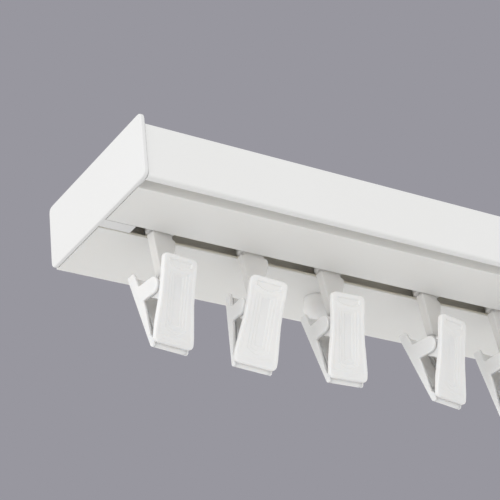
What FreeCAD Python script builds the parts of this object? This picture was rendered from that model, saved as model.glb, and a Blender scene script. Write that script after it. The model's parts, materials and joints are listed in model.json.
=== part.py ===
"""Ceiling curtain track with clip runners, built the way it is made.

The track is an extruded plastic profile with a running channel, a clipped-on
front fascia and a moulded cap at each end. Eight moulded gliders hang in the
channel. A ball at the foot of each glider carries a spring clip made of a
front arm, a rear arm, a pivot pin and a torsion spring.

Section frame, in millimetres: X runs along the track from its left cut end,
Y runs from the front wall to the rear, Z runs up from the underside. Each
object's Placement moves it so that the origin lies in the middle of the
ceiling face, over the slot.
"""
import math
import os

import FreeCAD
import Part
import Sketcher

V = FreeCAD.Vector
doc = FreeCAD.newDocument("curtain_track")
sheet = doc.addObject("Spreadsheet::Sheet", "dims")


class Size:
    """A size that carries its number and the expression that gives it."""

    def __init__(self, text, value):
        self.text = text
        self.value = float(value)

    def _join(self, other, sign, value, flip=False):
        left, right = self, as_size(other)
        if flip:
            left, right = right, left
        return Size("(" + left.text + " " + sign + " " + right.text + ")", value)

    def __add__(self, other):
        return self._join(other, "+", self.value + as_size(other).value)

    __radd__ = __add__

    def __sub__(self, other):
        return self._join(other, "-", self.value - as_size(other).value)

    def __rsub__(self, other):
        return self._join(other, "-", as_size(other).value - self.value, True)

    def __mul__(self, other):
        return self._join(other, "*", self.value * as_size(other).value)

    __rmul__ = __mul__

    def __truediv__(self, other):
        return self._join(other, "/", self.value / as_size(other).value)

    def __neg__(self):
        return Size("(0 - " + self.text + ")", -self.value)


def as_size(number):
    """Wrap a plain number, so that it can be joined to a Size."""
    return number if isinstance(number, Size) else Size(repr(number), number)


def cosine(angle):
    """Cosine of an angle in degrees, as a Size."""
    return Size("cos(" + angle.text + ")", math.cos(math.radians(angle.value)))


def sine(angle):
    """Sine of an angle in degrees, as a Size."""
    return Size("sin(" + angle.text + ")", math.sin(math.radians(angle.value)))


# Driving sizes, in millimetres and degrees

# Track profile
track_length = 500  # length of the cut profile
body_depth = 48  # front wall to rear wall
body_height = 20.2  # underside to ceiling face
wall = 1.1  # wall of the extrusion
roof = 1.5  # wall against the ceiling
slot_centre = 20.35  # front wall to middle of the slot
slot_width = 4.5  # running slot
channel_width = 11.9  # inside of the running channel
ledge_height = 6.1  # underside of the hold-down ledges
ledge_reach = 1.3  # hold-down ledges, from the channel wall
web_offset = 38.0  # front wall to the stiffening web
hook_height = 12.4  # underside of the upper fascia rail
hook_reach = 3.0  # upper fascia rail, from the front wall
hook_lip = 2.4  # upturned lip of the upper rail
rail_height = 4.0  # underside of the lower fascia rail
screw_hole = 4.5  # screw holes in the ceiling wall
screw_pitch = 150  # spacing of the four screw holes

# Fascia
fascia_front = 6.2  # front wall to fascia face
fascia_plate = 1.6  # thickness of the fascia plate
fascia_lip = 2.3  # thickness of its lower lip
fascia_height = 17.1  # height of the fascia
snap_gap = 0.2  # play between clipped profiles

# End caps
cap_plate = 1.3  # thickness of the end plate
cap_overlap = 0.4  # plate past the fascia face
cap_drop = 0.1  # plate below the underside
cap_radius = 1.9  # rounding of the plate corners
cap_seat = 0.15  # play between plate and track end
tab_length = 0.8  # groove tab, from the plate
tab_rise = 0.6  # underside to the groove tab
tongue_length = 9.75  # stop tongue in the slot
tongue_width = 3.7  # width of the stop tongue
plug_length = 7  # plugs inside the profile
plug_wall = 1.2  # wall of the hollow plugs
plug_gap = 0.15  # play of the plugs

# Glider
head_radius = 5.3  # radius of the round glider head
head_height = 4.2  # height of the glider head
head_play = 0.05  # play under the glider head
stem_length = 6.0  # stem in the slot, along the track
blade_top = 9.0  # width of the blade at the slot
blade_foot = 3.8  # width of the blade at its foot
blade_drop = 13.5  # underside of track to blade foot
blade_thick = 2.5  # thickness of the blade
neck_radius = 0.95  # neck above the ball
ball_radius = 1.6  # ball at the foot of the glider
ball_drop = 16.3  # underside of track to ball centre
ball_shift = 0.8  # ball beside the axis of the head

# Clip, in its own frame at the ball centre
front_tilt = 15.8  # front arm from the vertical
rear_tilt = 17.0  # rear arm from the vertical
handle_rise = 5.0  # ball centre to the top of the arms
front_offset = 9.4  # ball centre to front arm face
rear_offset = 8.1  # ball centre to rear arm face
pin_forward = 2.2  # pivot pin in front of the ball
pin_below = 3.8  # pivot pin below the ball
arm_length = 25.7  # length of the front arm
arm_top = 11.6  # width of the front arm at the top
arm_foot = 13.3  # width of the front arm at the jaw
arm_waist = 11.5  # width of the front arm at its waist
arm_thick = 1.6  # thickness of the front arm
jaw_thick = 1.3  # thickness of both jaws
panel_step = 0.15  # depth of each step in the front panel
panel_border = 2.4  # raised border of the front panel
rear_length = 26.3  # length of the rear arm
rear_width = 12.0  # width of the rear arm
rear_thick = 1.15  # thickness of the rear arm
rib_depth = 3.0  # depth of the rear arm's side ribs
cheek_thick = 1.0  # thickness of cheeks and lugs
cheek_gap = 0.2  # play between cheek and lug
cheek_radius = 2.6  # round end of the cheek
cheek_reach = 2.3  # ball centre to the cheek's round end
cheek_drop = 2.4  # round end below the ball centre
rib_inset = 1.5  # inner ribs, from the rear arm's edge
rib_rise = 0.8  # inner ribs, from the rear arm's plate
jaw_gap = 0.15  # play between the closed jaws
lug_radius = 2.0  # reach of the lug round the pin
pin_radius = 0.6  # radius of the pivot pin
pin_play = 0.05  # play of the pin in the lugs
socket_radius = 2.5  # outside of the ball socket
socket_play = 0.05  # play of the ball in its socket
socket_rim = 0.85  # ball centre to the socket's rim
wire_radius = 0.3  # radius of the spring wire
coil_radius = 1.2  # mean radius of the spring coil
coil_turns = 3.25  # turns of the spring
coil_pitch = 1.6  # pitch of the spring
coil_shift = 0.35  # coil, beside the middle of the clip
leg_slope = 45  # spring legs from the vertical

# Runners: place of each ball along the track from the left cut end, the way
# its clip hangs, as yaw, roll and extra pitch, and the turn of its glider in
# the slot, all in degrees
RUNNERS = [
    (17.9, 7.0, -0.2, -1.0, 15.0),
    (48.2, -5.5, 7.1, 4.2, -3.0),
    (75.2, -0.5, -1.6, -2.0, 8.0),
    (111.5, 12.5, -1.4, -2.0, 16.0),
    (139.6, 2.0, 1.0, 0.5, 4.0),
    (169.6, -3.0, -1.0, 1.0, -6.0),
    (199.6, 1.5, 0.8, -1.0, 9.0),
    (229.6, -2.0, 1.2, 0.0, 3.0),
]


def driving(row, name, value):
    """Write one driving size into the sheet and return it as a Size."""
    sheet.set("A" + str(row), name.replace("_", " "))
    sheet.set("B" + str(row), str(value))
    sheet.setAlias("B" + str(row), name)
    return Size("dims." + name, value)


plain = {n: v for n, v in globals().items() if type(v) in (int, float)}
for row, name in enumerate(plain, 1):
    globals()[name] = driving(row, name, plain[name])

slot_front = slot_centre - slot_width / 2
slot_rear = slot_centre + slot_width / 2
channel_front = slot_centre - channel_width / 2
channel_rear = slot_centre + channel_width / 2
channel_roof = body_height - roof
ledge_top = ledge_height + wall
groove_back = fascia_front - fascia_lip
half = track_length / 2
row_shift = V(-half.value, -slot_centre.value, -body_height.value)


def new_body(label):
    """Start one solid with a name."""
    body = doc.addObject("PartDesign::Body", label)
    body.Label = label
    return body


def plane_of(body, role):
    """Find an origin plane of a body by its role."""
    return [f for f in body.Origin.OriginFeatures if f.Role == role][0]


def new_sketch(body, name, role, offset=None):
    """Add a sketch on one of the body's own planes, moved along its normal."""
    sketch = body.newObject("Sketcher::SketchObject", name)
    sketch.AttachmentSupport = [(plane_of(body, role), "")]
    sketch.MapMode = "FlatFace"
    if offset is not None:
        sketch.setExpression("AttachmentOffset.Base.z", offset.text)
    return sketch


def pin_point(sketch, line, end, axis, size):
    """Fix one coordinate of a point by an expression."""
    if abs(size.value) < 1e-9:
        on_axis = -2 if axis == "DistanceX" else -1
        sketch.addConstraint(Sketcher.Constraint("PointOnObject", line, end, on_axis))
        return
    if size.value > 0:
        rule = Sketcher.Constraint(axis, -1, 1, line, end, size.value)
        text = size.text
    else:
        rule = Sketcher.Constraint(axis, line, end, -1, 1, -size.value)
        text = (-size).text
    number = sketch.addConstraint(rule)
    sketch.setExpression("Constraints[" + str(number) + "]", text)


def loop(sketch, points):
    """Draw a closed outline and tie every corner to the sheet."""
    spots = [(as_size(a), as_size(b)) for a, b in points]
    flat = [V(a.value, b.value, 0) for a, b in spots]
    first = sketch.GeometryCount
    count = len(flat)
    for i in range(count):
        sketch.addGeometry(Part.LineSegment(flat[i], flat[(i + 1) % count]), False)
    for i in range(count):
        after = first + (i + 1) % count
        sketch.addConstraint(Sketcher.Constraint("Coincident", first + i, 2, after, 1))
    for i in range(count):
        pin_point(sketch, first + i, 1, "DistanceX", spots[i][0])
        pin_point(sketch, first + i, 1, "DistanceY", spots[i][1])


def box_loop(sketch, low_a, high_a, low_b, high_b):
    """Draw a rectangle between four sizes."""
    loop(sketch, [(low_a, low_b), (high_a, low_b), (high_a, high_b), (low_a, high_b)])


def circle(sketch, across, up, radius):
    """Draw a circle tied to the sheet."""
    across, up, radius = as_size(across), as_size(up), as_size(radius)
    centre = V(across.value, up.value, 0)
    geo = sketch.addGeometry(Part.Circle(centre, V(0, 0, 1), radius.value), False)
    number = sketch.addConstraint(Sketcher.Constraint("Radius", geo, radius.value))
    sketch.setExpression("Constraints[" + str(number) + "]", radius.text)
    pin_point(sketch, geo, 3, "DistanceX", across)
    pin_point(sketch, geo, 3, "DistanceY", up)


def pad(body, name, sketch, length, reverse=False, both=False):
    """Extrude a sketch, and check that the solid grew."""
    before = body.Shape.Volume if body.Tip else 0.0
    feature = body.newObject("PartDesign::Pad", name)
    feature.Profile = sketch
    feature.setExpression("Length", as_size(length).text)
    feature.Reversed = reverse
    feature.SideType = "Symmetric" if both else "One side"
    sketch.Visibility = False
    doc.recompute()
    if body.Shape.Volume <= before:
        raise RuntimeError(name + " adds nothing")
    return feature


def pocket(body, name, sketch, length, reverse=False, both=False):
    """Cut a sketch away, and check that the solid shrank."""
    before = body.Shape.Volume
    feature = body.newObject("PartDesign::Pocket", name)
    feature.Profile = sketch
    feature.setExpression("Length", as_size(length).text)
    feature.Reversed = reverse
    feature.SideType = "Symmetric" if both else "One side"
    sketch.Visibility = False
    doc.recompute()
    if body.Shape.Volume >= before:
        raise RuntimeError(name + " cuts nothing")
    return feature


def soften(body, name, radius, wanted):
    """Round the edges for which the test holds."""
    doc.recompute()
    tip = body.Tip
    names = []
    for number, edge in enumerate(tip.Shape.Edges, 1):
        if wanted(edge):
            names.append("Edge" + str(number))
    if not names:
        raise RuntimeError(name + " finds no edge")
    feature = body.newObject("PartDesign::Fillet", name)
    feature.Base = (tip, names)
    feature.setExpression("Radius", as_size(radius).text)
    doc.recompute()
    return feature


def along_x(edge):
    """True for a straight edge that runs along the track."""
    a, b = edge.Vertexes[0].Point, edge.Vertexes[-1].Point
    return abs(a.y - b.y) < 1e-6 and abs(a.z - b.z) < 1e-6


def build_track():
    """The extruded profile: channel, chambers, fascia rails, screw holes."""
    body = new_body("track_profile")
    section = new_sketch(body, "TrackSection", "YZ_Plane")
    hook_top = hook_height + 1
    loop(section, [
        (0, 0),
        (slot_front, 0),
        (slot_front, wall),
        (channel_front, wall),
        (channel_front, ledge_height),
        (channel_front + ledge_reach, ledge_height),
        (channel_front + ledge_reach, ledge_top),
        (channel_front, ledge_top),
        (channel_front, channel_roof),
        (channel_rear, channel_roof),
        (channel_rear, ledge_top),
        (channel_rear - ledge_reach, ledge_top),
        (channel_rear - ledge_reach, ledge_height),
        (channel_rear, ledge_height),
        (channel_rear, wall),
        (slot_rear, wall),
        (slot_rear, 0),
        (body_depth, 0),
        (body_depth, body_height),
        (0, body_height),
        (0, hook_top),
        (1 - hook_reach, hook_top),
        (1 - hook_reach, hook_top + hook_lip),
        (-hook_reach, hook_top + hook_lip),
        (-hook_reach, hook_height),
        (0, hook_height),
        (0, rail_height + 1.2),
        (fascia_plate + snap_gap - fascia_front, rail_height + 1.2),
        (fascia_plate + snap_gap - fascia_front, rail_height),
        (0, rail_height),
    ])
    box_loop(section, wall, channel_front - wall, wall, channel_roof)
    box_loop(section, channel_rear + wall, web_offset, wall, channel_roof)
    box_loop(section, web_offset + wall, body_depth - wall, wall, channel_roof)
    pad(body, "Extrusion", section, track_length)
    holes = new_sketch(body, "ScrewHoles", "XY_Plane", body_height)
    for step in (-1.5, -0.5, 0.5, 1.5):
        circle(holes, half + step * screw_pitch, slot_centre, screw_hole / 2)
    pocket(body, "ScrewHoleCuts", holes, roof * 2)
    body.Placement = FreeCAD.Placement(row_shift, FreeCAD.Rotation())
    return body


def build_fascia():
    """The front plate that hooks over the rails of the track."""
    body = new_body("fascia_profile")
    section = new_sketch(body, "FasciaSection", "YZ_Plane")
    inner = fascia_plate - fascia_front
    rib_low = rail_height + 1.2 + snap_gap
    arm_low = hook_height + 1 + hook_lip + snap_gap
    tooth_front = 1 - hook_reach + snap_gap
    loop(section, [
        (-fascia_front, 0),
        (fascia_lip - fascia_front, 0),
        (fascia_lip - fascia_front, rail_height - snap_gap),
        (inner, rail_height - snap_gap),
        (inner, rib_low),
        (inner + 1, rib_low),
        (inner + 1, rib_low + 1),
        (inner, rib_low + 1),
        (inner, arm_low),
        (tooth_front, arm_low),
        (tooth_front, hook_height + 1 + snap_gap),
        (tooth_front + 1.1, hook_height + 1 + snap_gap),
        (tooth_front + 1.1, fascia_height),
        (-fascia_front, fascia_height),
    ])
    pad(body, "Extrusion", section, track_length)
    face = -fascia_front.value

    def outer_edge(edge):
        return along_x(edge) and abs(edge.Vertexes[0].Point.y - face) < 1e-6

    soften(body, "FaceEdges", wall / 2, outer_edge)
    body.Placement = FreeCAD.Placement(row_shift, FreeCAD.Rotation())
    return body


def build_cap(label, at_right):
    """A moulded end cap: plate, stop tongue, hollow plugs, groove tab."""
    body = new_body(label)
    inward = at_right
    plate = new_sketch(body, "Plate", "YZ_Plane")
    box_loop(plate, -(fascia_front + cap_overlap), body_depth + 0.2, -cap_drop, body_height)
    pad(body, "PlatePad", plate, cap_plate, not inward)
    soften(body, "PlateCorners", cap_radius, along_x)

    def outer_face(edge):
        return all(abs(abs(p.Point.x) - cap_plate.value) < 1e-6 for p in edge.Vertexes)

    soften(body, "PlateEdges", cap_plate / 4, outer_face)
    tongue = new_sketch(body, "Tongue", "YZ_Plane")
    start = slot_centre - tongue_width / 2 - 0.25
    box_loop(tongue, start, start + tongue_width, 0, ledge_height - 1)
    pad(body, "TonguePad", tongue, tongue_length, inward)
    plugs = new_sketch(body, "Plugs", "YZ_Plane")
    chambers = [
        (wall, channel_front - wall, wall, channel_roof),
        (channel_rear + wall, web_offset, wall, channel_roof),
    ]
    for low_y, high_y, low_z, high_z in chambers:
        low_y, high_y = low_y + plug_gap, high_y - plug_gap
        low_z, high_z = low_z + plug_gap, high_z - plug_gap
        box_loop(plugs, low_y, high_y, low_z, high_z)
        low_y, high_y = low_y + plug_wall, high_y - plug_wall
        low_z, high_z = low_z + plug_wall, high_z - plug_wall
        box_loop(plugs, low_y, high_y, low_z, high_z)
    box_loop(plugs, channel_front + plug_gap, channel_rear - plug_gap,
             wall + plug_gap, ledge_height - plug_gap)
    pad(body, "PlugPads", plugs, plug_length, inward)
    tab = new_sketch(body, "GrooveTab", "YZ_Plane")
    box_loop(tab, snap_gap - groove_back, -snap_gap, tab_rise, rail_height - 2 * snap_gap)
    pad(body, "GrooveTabPad", tab, tab_length, inward)
    end = track_length.value + cap_seat.value if at_right else -cap_seat.value
    body.Placement = FreeCAD.Placement(row_shift + V(end, 0, 0), FreeCAD.Rotation())
    return body


def build_glider():
    """The moulded glider: round head, stem, blade, neck and ball in one piece."""
    body = new_body("glider_form")
    low = wall + head_play
    head = new_sketch(body, "Head", "XY_Plane", low)
    circle(head, 0, 0, head_radius)
    pad(body, "HeadPad", head, head_height)

    def rim(edge):
        return abs(edge.BoundBox.XLength - 2 * head_radius.value) < 1e-3

    soften(body, "HeadRims", wall * 0.7, rim)
    stem = new_sketch(body, "Stem", "XZ_Plane")
    box_loop(stem, -(stem_length / 2), stem_length / 2, -0.6, low + 0.5)
    pad(body, "StemPad", stem, blade_thick, both=True)
    blade = new_sketch(body, "Blade", "XZ_Plane")
    half_foot = blade_foot / 2
    loop(blade, [
        (-(blade_top / 2), -0.1),
        (-half_foot - ball_shift, 1.4 - blade_drop),
        (0.8 - half_foot - ball_shift, -blade_drop),
        (half_foot - ball_shift - 0.8, -blade_drop),
        (half_foot - ball_shift, 1.4 - blade_drop),
        (blade_top / 2, -2.2),
        (blade_top / 2 - 0.25, -1.3),
        (blade_top / 2 - 0.9, -0.6),
        (blade_top / 2 - 1.9, -0.1),
    ])
    pad(body, "BladePad", blade, blade_thick, both=True)
    ball = new_sketch(body, "NeckAndBall", "XZ_Plane")
    ball.setExpression("AttachmentOffset.Base.x", (-ball_shift).text)
    turned_foot(ball)
    foot = body.newObject("PartDesign::Revolution", "NeckAndBallTurn")
    foot.Profile = ball
    foot.ReferenceAxis = (ball, ["V_Axis"])
    foot.Angle = 360
    doc.recompute()
    return body


def turned_foot(sketch):
    """Half section of neck and ball: an arc on the axis and a straight neck."""
    drop = -ball_drop.value
    radius = ball_radius.value
    neck = neck_radius.value
    rise = math.sqrt(radius ** 2 - neck ** 2)
    low = V(0, drop - radius, 0)
    join = V(neck, drop + rise, 0)
    side = V(radius, drop, 0)
    top = -blade_drop.value + 1.5
    sketch.addGeometry(Part.Arc(low, side, join), False)
    sketch.addGeometry(Part.LineSegment(join, V(neck, top, 0)), False)
    sketch.addGeometry(Part.LineSegment(V(neck, top, 0), V(0, top, 0)), False)
    sketch.addGeometry(Part.LineSegment(V(0, top, 0), low), False)
    sketch.addConstraint(Sketcher.Constraint("Coincident", 0, 2, 1, 1))
    sketch.addConstraint(Sketcher.Constraint("Coincident", 1, 2, 2, 1))
    sketch.addConstraint(Sketcher.Constraint("Coincident", 2, 2, 3, 1))
    sketch.addConstraint(Sketcher.Constraint("Coincident", 3, 2, 0, 1))
    sketch.addConstraint(Sketcher.Constraint("Vertical", 1))
    sketch.addConstraint(Sketcher.Constraint("Horizontal", 2))
    sketch.addConstraint(Sketcher.Constraint("PointOnObject", 3, 1, -2))
    sketch.addConstraint(Sketcher.Constraint("PointOnObject", 0, 3, -2))
    sketch.addConstraint(Sketcher.Constraint("PointOnObject", 3, 2, -2))
    number = sketch.addConstraint(Sketcher.Constraint("Radius", 0, radius))
    sketch.setExpression("Constraints[" + str(number) + "]", ball_radius.text)
    pin_point(sketch, 0, 3, "DistanceY", -ball_drop)
    pin_point(sketch, 1, 2, "DistanceX", neck_radius)
    pin_point(sketch, 1, 2, "DistanceY", 1.5 - blade_drop)


def seen_from_front(point_y, point_z):
    """A clip-frame point in the front arm's flat frame."""
    dy, dz = point_y + front_offset, point_z - handle_rise
    across = dy * cosine(front_tilt) + dz * sine(front_tilt)
    up = dz * cosine(front_tilt) - dy * sine(front_tilt)
    return across, up


def seen_from_rear(point_y, point_z):
    """A clip-frame point in the rear arm's flat frame."""
    dy, dz = point_y - rear_offset, point_z - handle_rise
    across = dy * cosine(rear_tilt) - dz * sine(rear_tilt)
    up = dz * cosine(rear_tilt) + dy * sine(rear_tilt)
    return across, up


def plate_back(height):
    """Where the middle of the rear arm's plate lies at a height in the clip."""
    slope = sine(rear_tilt) / cosine(rear_tilt)
    return rear_offset - (handle_rise - height) * slope - rear_thick


def jaw_face(up):
    """A point just behind the front jaw's rear face, in the rear arm's frame."""
    across = jaw_thick + jaw_gap
    back = across * cosine(front_tilt) - up * sine(front_tilt) - front_offset
    rise = handle_rise + across * sine(front_tilt) + up * cosine(front_tilt)
    return seen_from_rear(back, rise)


def side_pair(body, name, inner, thick, points, cut=False):
    """Extrude one side outline on both flanks of an arm."""
    for mark, flip in (("Left", True), ("Right", False)):
        shift = -inner if flip else inner
        sketch = new_sketch(body, name + mark, "YZ_Plane", shift)
        loop(sketch, points)
        pad(body, name + mark + "Pad", sketch, thick, flip)


def build_front_arm():
    """The front arm: stepped panel, waisted edges, lugs and ball socket."""
    body = new_body("clip_front_arm_form")
    pin_y, pin_z = seen_from_front(-pin_forward, -pin_below)
    ball_y, ball_z = seen_from_front(as_size(0), as_size(0))
    side = new_sketch(body, "Side", "YZ_Plane")
    loop(side, [
        (0, 0),
        (0, -arm_length),
        (jaw_thick - 0.5, -arm_length),
        (jaw_thick, 0.6 - arm_length),
        (jaw_thick, 3.5 - arm_length),
        (arm_thick, 6 - arm_length),
        (arm_thick, 0),
    ])
    pad(body, "SidePad", side, arm_foot, both=True)
    edge = new_sketch(body, "Edges", "XZ_Plane")
    for sign in (-1, 1):
        loop(edge, [
            (sign * (arm_top / 2 - 1.5), 0.5),
            (sign * (arm_top / 2 - 1.5), 0),
            (sign * (arm_top / 2 - 0.6), -0.3),
            (sign * (arm_top / 2 - 0.1), -1.0),
            (sign * (arm_top / 2), -2.0),
            (sign * (arm_top / 2), -4.8),
            (sign * (arm_waist / 2 - 0.1), -6.3),
            (sign * (arm_waist / 2), -(arm_length / 2)),
            (sign * (arm_foot / 2), 3.2 - arm_length),
            (sign * (arm_foot / 2 - 0.2), 1.0 - arm_length),
            (sign * (arm_foot / 2 - 0.7), 0.3 - arm_length),
            (sign * (arm_foot / 2 - 1.5), -arm_length),
            (sign * (arm_foot / 2 - 1.5), -arm_length - 0.5),
            (sign * (arm_foot / 2 + 1), -arm_length - 0.5),
            (sign * (arm_foot / 2 + 1), 0.5),
        ])
    pocket(body, "EdgeCuts", edge, body_depth, both=True)
    inner = rear_width / 2 - cheek_thick - cheek_gap - cheek_thick
    side_pair(body, "Lug", inner, cheek_thick, [
        (arm_thick - 0.3, pin_z + 3.1),
        (pin_y - 0.4, pin_z + lug_radius),
        (pin_y + lug_radius * 0.7, pin_z + lug_radius * 0.7),
        (pin_y + lug_radius, pin_z),
        (pin_y + lug_radius * 0.7, pin_z - lug_radius * 0.7),
        (pin_y - 0.4, pin_z - lug_radius),
        (arm_thick - 0.3, pin_z - 3.4),
    ])
    hole = new_sketch(body, "PinHole", "YZ_Plane")
    circle(hole, pin_y, pin_z, pin_radius + pin_play)
    pocket(body, "PinHoleCut", hole, arm_foot, both=True)
    bracket = new_sketch(body, "Bracket", "YZ_Plane")
    loop(bracket, [
        (arm_thick - 0.3, ball_z + 1.3),
        (ball_y - socket_radius * 0.75, ball_z + 0.6),
        (ball_y - socket_radius * 0.75, ball_z - 1.2),
        (arm_thick - 0.3, ball_z - 1.9),
    ])
    pad(body, "BracketPad", bracket, cheek_thick * 2, both=True)
    socket = body.newObject("PartDesign::AdditiveSphere", "Socket")
    socket.setExpression("Radius", socket_radius.text)
    rim = Size("asin(" + (socket_rim / socket_radius).text + ")",
               math.degrees(math.asin(socket_rim.value / socket_radius.value)))
    socket.setExpression("Angle2", rim.text)
    set_round(socket, ball_y, ball_z)
    hollow = body.newObject("PartDesign::SubtractiveSphere", "SocketHollow")
    hollow.setExpression("Radius", (ball_radius + socket_play).text)
    set_round(hollow, ball_y, ball_z)
    doc.recompute()
    front_panel(body)
    return body


def set_round(feature, across, up):
    """Place a sphere at the ball centre, upright in the hanging clip."""
    feature.MapMode = "Deactivated"
    spot = V(0, across.value, up.value)
    turn = FreeCAD.Rotation(V(1, 0, 0), -front_tilt.value)
    feature.Placement = FreeCAD.Placement(spot, turn)
    feature.setExpression("Placement.Base.y", across.text)
    feature.setExpression("Placement.Base.z", up.text)


def front_panel(body):
    """Steps pressed into the face of the front arm, one inside the other."""
    reach = arm_top / 2 - panel_border
    steps = [
        ("PanelGroove", reach - 0.5, -2.0, -2.5, panel_step),
        ("PanelOuter", reach, -5.0, 3.4 - arm_length, panel_step),
        ("PanelInner", reach - 1.3, -5.6, 5.2 - arm_length, panel_step * 2),
    ]
    for name, reach, high, low, depth in steps:
        sketch = new_sketch(body, name, "XZ_Plane")
        box_loop(sketch, -reach, reach, low, high)
        pocket(body, name + "Cut", sketch, depth)


def build_rear_arm():
    """The rear arm: channel form with deep cheeks round the pivot."""
    body = new_body("clip_rear_arm_form")
    pin_y, pin_z = seen_from_rear(-pin_forward, -pin_below)
    side = new_sketch(body, "Side", "YZ_Plane")
    loop(side, [
        (0, 0),
        (-rear_thick, 0),
        (-rear_thick, 2.7 - rear_length),
        jaw_face(1.2 - arm_length),
        jaw_face(-arm_length - 0.9),
        (-0.3, -rear_length - 0.2),
        (0, 0.5 - rear_length),
    ])
    pad(body, "SidePad", side, rear_width - cheek_gap, both=True)
    flank = rear_width / 2 - cheek_thick
    side_pair(body, "Flange", flank, cheek_thick, [
        (-rear_thick / 2, 0),
        (-rib_depth, -0.6),
        (-rib_depth, pin_z - 1.5),
        (-rear_thick - 0.5, 4 - rear_length),
        (-rear_thick / 2, 4 - rear_length),
    ])
    side_pair(body, "Rib", flank - rib_inset, cheek_thick * 0.7, [
        (-rear_thick / 2, -0.8),
        (-rear_thick - rib_rise, -1.2),
        (-rear_thick - rib_rise, 5.2 - rear_length),
        (-rear_thick / 2, 4.4 - rear_length),
    ])
    high, low = cheek_radius - cheek_drop, -cheek_radius - cheek_drop
    side_pair(body, "Cheek", flank, cheek_thick, [
        seen_from_rear(-cheek_reach, high),
        seen_from_rear(-cheek_reach, low),
        seen_from_rear(plate_back(low), low),
        seen_from_rear(plate_back(high), high),
    ])
    round_y, round_z = seen_from_rear(-cheek_reach, -cheek_drop)
    for mark, flip in (("Left", True), ("Right", False)):
        shift = -flank if flip else flank
        end = new_sketch(body, "CheekEnd" + mark, "YZ_Plane", shift)
        circle(end, round_y, round_z, cheek_radius)
        pad(body, "CheekEnd" + mark + "Pad", end, cheek_thick, flip)
    hole = new_sketch(body, "PinHole", "YZ_Plane")
    circle(hole, pin_y, pin_z, pin_radius)
    pocket(body, "PinHoleCut", hole, rear_width * 2, both=True)
    return body


def build_pin():
    """The steel pivot pin."""
    body = new_body("clip_pin_form")
    sketch = new_sketch(body, "Round", "YZ_Plane")
    circle(sketch, 0, 0, pin_radius)
    pad(body, "RoundPad", sketch, rear_width - 0.2, both=True)
    return body


def build_spring():
    """The torsion spring: a coil round the pin and two straight legs."""
    helix = doc.addObject("Part::Helix", "spring_helix")
    helix.setExpression("Pitch", coil_pitch.text)
    helix.setExpression("Height", (coil_pitch * coil_turns).text)
    helix.setExpression("Radius", coil_radius.text)
    helix.Style = 1
    ring = doc.addObject("Part::Circle", "spring_wire")
    ring.setExpression("Radius", wire_radius.text)
    ring.Placement = FreeCAD.Placement(V(coil_radius.value, 0, 0),
                                       FreeCAD.Rotation(V(1, 0, 0), 90))
    ring.setExpression("Placement.Base.x", coil_radius.text)
    coil = doc.addObject("Part::Sweep", "spring_coil")
    coil.Sections = [ring]
    coil.Spine = (helix, ["Edge1"])
    coil.Solid = True
    coil.Frenet = True
    pin_front = seen_from_front(-pin_forward, -pin_below)[0] - arm_thick
    pin_rear = -seen_from_rear(-pin_forward, -pin_below)[0] - rear_thick
    rise = coil_pitch * coil_turns
    low = spring_leg("spring_leg_front", pin_front, front_tilt)
    low.Placement = FreeCAD.Placement(V(coil_radius.value, 0, 0),
                                      FreeCAD.Rotation(V(1, 0, 0), 90))
    low.setExpression("Placement.Base.x", coil_radius.text)
    high = spring_leg("spring_leg_rear", pin_rear, rear_tilt)
    high.Placement = FreeCAD.Placement(V(0, coil_radius.value, rise.value),
                                       FreeCAD.Rotation(V(0, 1, 0), -90))
    high.setExpression("Placement.Base.y", coil_radius.text)
    high.setExpression("Placement.Base.z", rise.text)
    legs = [low, high]
    spring = doc.addObject("Part::MultiFuse", "clip_spring_form")
    spring.Shapes = [coil] + legs
    doc.recompute()
    return spring


def spring_leg(name, reach, tilt):
    """A leg just long enough to rest on the arm that it pushes."""
    lean = leg_slope - tilt
    length = (reach - wire_radius - coil_radius * cosine(lean)) / sine(lean)
    leg = doc.addObject("Part::Cylinder", name)
    leg.setExpression("Radius", wire_radius.text)
    leg.setExpression("Height", length.text)
    return leg


def hang(label, form, frame):
    """Hang a copy of a form at a place and give it the node's name."""
    copy = doc.addObject("App::Link", label)
    copy.LinkedObject = form
    copy.Label = label
    copy.Placement = frame
    return copy


def frame_at(y, z, tilt, x=0.0):
    """A frame in the clip, tilted about the track's direction."""
    return FreeCAD.Placement(V(x, y, z), FreeCAD.Rotation(V(1, 0, 0), tilt))


def build_runners():
    """Hang every glider and clip where the photograph and the run put them."""
    glider = build_glider()
    front = build_front_arm()
    rear = build_rear_arm()
    pin = build_pin()
    spring = build_spring()
    front_frame = frame_at(-front_offset.value, handle_rise.value, front_tilt.value)
    rear_frame = frame_at(rear_offset.value, handle_rise.value, -rear_tilt.value)
    pin_frame = frame_at(-pin_forward.value, -pin_below.value, 0)
    centred = coil_shift.value - coil_pitch.value * coil_turns.value / 2
    lay = FreeCAD.Placement(V(centred, 0, 0),
                            FreeCAD.Rotation(V(1, 1, 1), 120))
    spin = frame_at(0, 0, 180 + leg_slope.value)
    hung = []
    for number, (place, yaw, roll, pitch, spin_in_slot) in enumerate(RUNNERS, 1):
        mark = "_" + str(number)
        slot_point = V(place + ball_shift.value - half.value, 0, -body_height.value)
        foot = FreeCAD.Placement(slot_point, FreeCAD.Rotation(spin_in_slot, 0, 0))
        centre = foot.multVec(V(-ball_shift.value, 0, -ball_drop.value))
        turn = FreeCAD.Rotation(yaw, roll, pitch)
        ball = FreeCAD.Placement(centre, turn)
        hung.append(hang("glider" + mark, glider, foot))
        hung.append(hang("clip_front_arm" + mark, front, ball * front_frame))
        hung.append(hang("clip_rear_arm" + mark, rear, ball * rear_frame))
        hung.append(hang("clip_pin" + mark, pin, ball * pin_frame))
        hung.append(hang("clip_spring" + mark, spring, ball * pin_frame * spin * lay))
    return hung


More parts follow.
